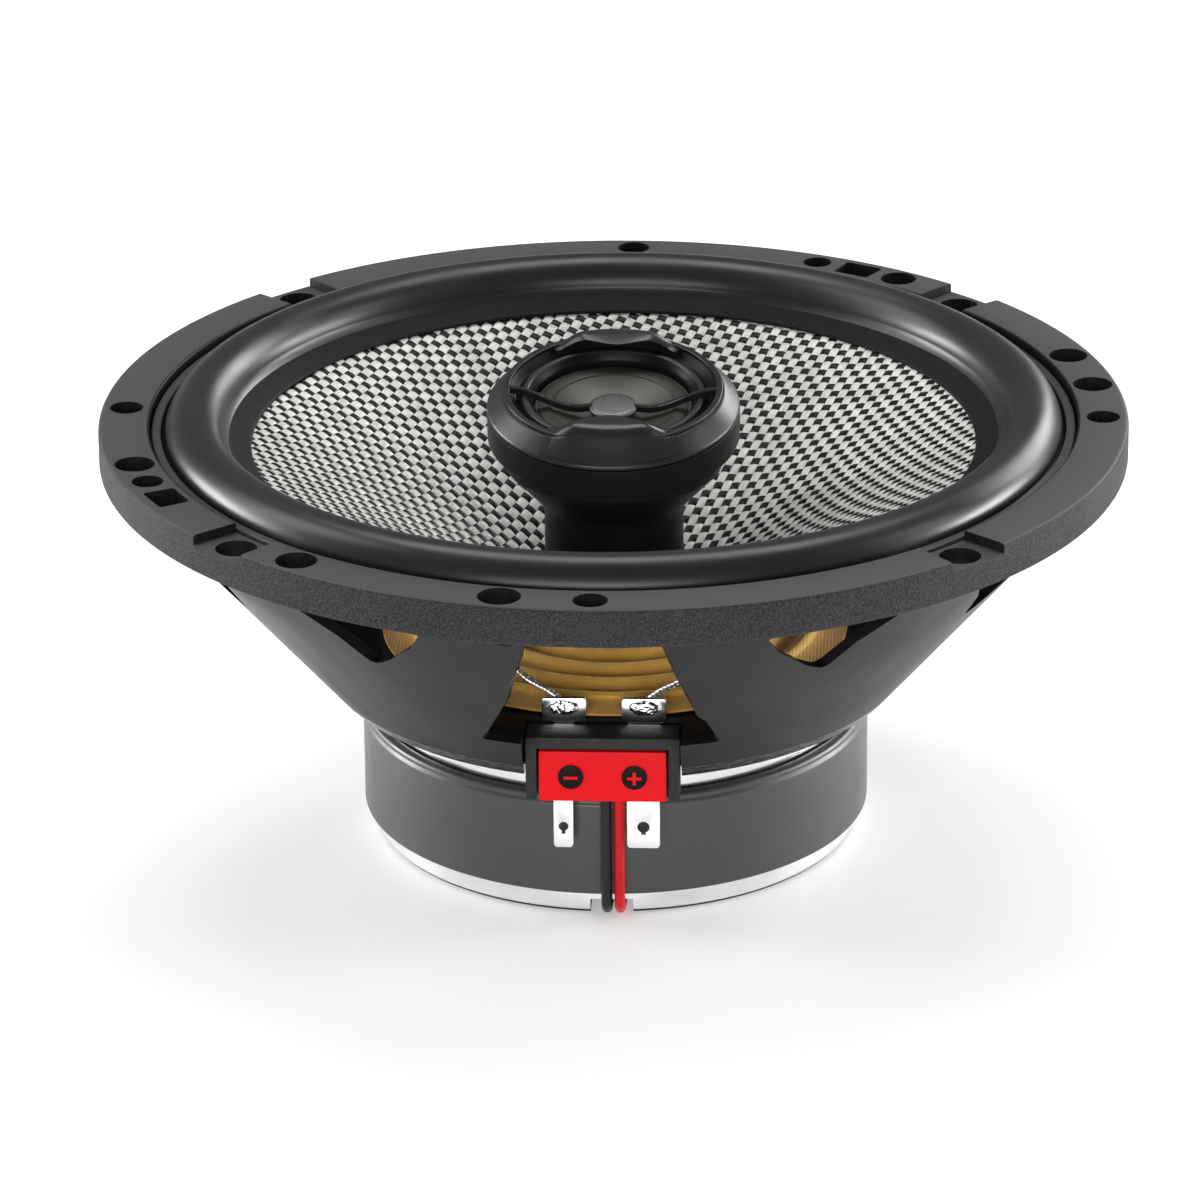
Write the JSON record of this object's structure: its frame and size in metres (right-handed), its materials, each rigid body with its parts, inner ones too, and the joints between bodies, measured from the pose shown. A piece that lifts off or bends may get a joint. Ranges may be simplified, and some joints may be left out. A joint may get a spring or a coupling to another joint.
{
  "type": "coaxial car speaker",
  "caption": "Round coaxial car speaker: woven cone in a rubber surround, swivel tweeter on a centre post, open basket, booted magnet and spade terminals.",
  "frame": {"origin": "on the speaker axis at the bottom face of the magnet back plate, where the part stands", "axes": "+Z along the axis out of the cone, -Y towards the terminals, +X to the right seen from the terminals"},
  "size_m": [0.165, 0.165, 0.0793],
  "materials": {
    "basket": "grainy dark grey powder coat on the flange, smoother black on the legs",
    "surround_clamp_ring": "satin",
    "basket_rivet": "zinc plated",
    "zinc_plate": "bright zinc plated, turned",
    "ferrite": "ground ferrite",
    "boot": "semi-gloss moulded rubber",
    "cone": "resin-coated woven glass fibre, silver and black",
    "former": "amber polyimide film",
    "coil": "enamelled copper winding",
    "surround": "soft butyl rubber, satin",
    "spider": "golden phenolic-dipped corrugated cloth",
    "tweeter_plastic": "black moulded plastic, satin",
    "grille": "black moulded plastic, glossier than the shell",
    "nut": "plated",
    "capacitor": "wrapped film capacitor",
    "bare_lead": "tinned wire",
    "liner": "low-friction moulded ring",
    "dome": "grey-olive anodised metal foil",
    "tweeter_steel": "plated",
    "tweeter_magnet": "nickel-plated neodymium",
    "tweeter_suspension": "black treated cloth",
    "housing": "black moulded plastic",
    "terminal_block": "red moulded plastic",
    "polarity_mark": "black disc with a red sign",
    "spade": "tinned brass, bright",
    "wire_black": "soft insulation",
    "wire_red": "soft insulation",
    "tinsel": "braided tinsel wire"
  },
  "bodies": {
    "frame": {"basket": "basket", "surround_clamp_ring": "surround_clamp_ring", "basket_rivet_1": "basket_rivet", "basket_rivet_2": "basket_rivet", "basket_rivet_3": "basket_rivet", "basket_rivet_4": "basket_rivet", "basket_rivet_5": "basket_rivet", "basket_rivet_6": "basket_rivet", "back_plate_and_pole": "zinc_plate", "ferrite_magnet": "ferrite", "top_plate": "zinc_plate", "magnet_boot": "boot", "surround": "surround", "spider": "spider", "tinsel_lead_left": "tinsel", "tinsel_lead_right": "tinsel", "tweeter_post": "tweeter_plastic", "post_nut": "nut", "crossover_capacitor": "capacitor", "capacitor_lead": "bare_lead", "terminal_housing": "housing", "terminal_block": "terminal_block", "polarity_mark_minus": "polarity_mark", "polarity_mark_plus": "polarity_mark", "spade_terminal_minus": "spade", "spade_terminal_plus": "spade", "tweeter_wire_black": "wire_black", "tweeter_wire_red": "wire_red"},
    "cone_assembly": {"cone": "cone", "voice_coil_former": "former", "voice_coil": "coil"},
    "tweeter_liner": {"ball_friction_liner": "liner"},
    "tweeter_head": {"tweeter_head_shell": "tweeter_plastic", "tweeter_bezel": "tweeter_plastic", "tweeter_grille": "grille", "tweeter_yoke": "tweeter_steel", "tweeter_magnet": "tweeter_magnet", "tweeter_pole_plate": "tweeter_steel", "tweeter_suspension": "tweeter_suspension"},
    "tweeter_diaphragm": {"tweeter_dome": "dome", "tweeter_voice_coil": "coil"}
  },
  "joints": [
    {"name": "cone_travel", "type": "slide", "parent": "frame", "child": "cone_assembly", "axis": [0, 0, 1], "range_m": [-0.004, 0.004], "stiffness_N_per_m": 1500, "deforming": ["surround", "spider", "tinsel_lead_left", "tinsel_lead_right"]},
    {"name": "tweeter_tilt_x", "type": "hinge", "parent": "frame", "child": "tweeter_liner", "pos_m": [0, 0, 0.07], "axis": [1, 0, 0], "range_deg": [-21, 3]},
    {"name": "tweeter_tilt_y", "type": "hinge", "parent": "tweeter_liner", "child": "tweeter_head", "pos_m": [0, 0, 0.07], "axis": [0, 0.9877, 0.1564], "range_deg": [-7, 7]},
    {"name": "dome_travel", "type": "slide", "parent": "tweeter_head", "child": "tweeter_diaphragm", "axis": [0, -0.1564, 0.9877], "range_m": [-0.0003, 0.0003], "stiffness_N_per_m": 2000, "deforming": ["tweeter_suspension"]}
  ]
}
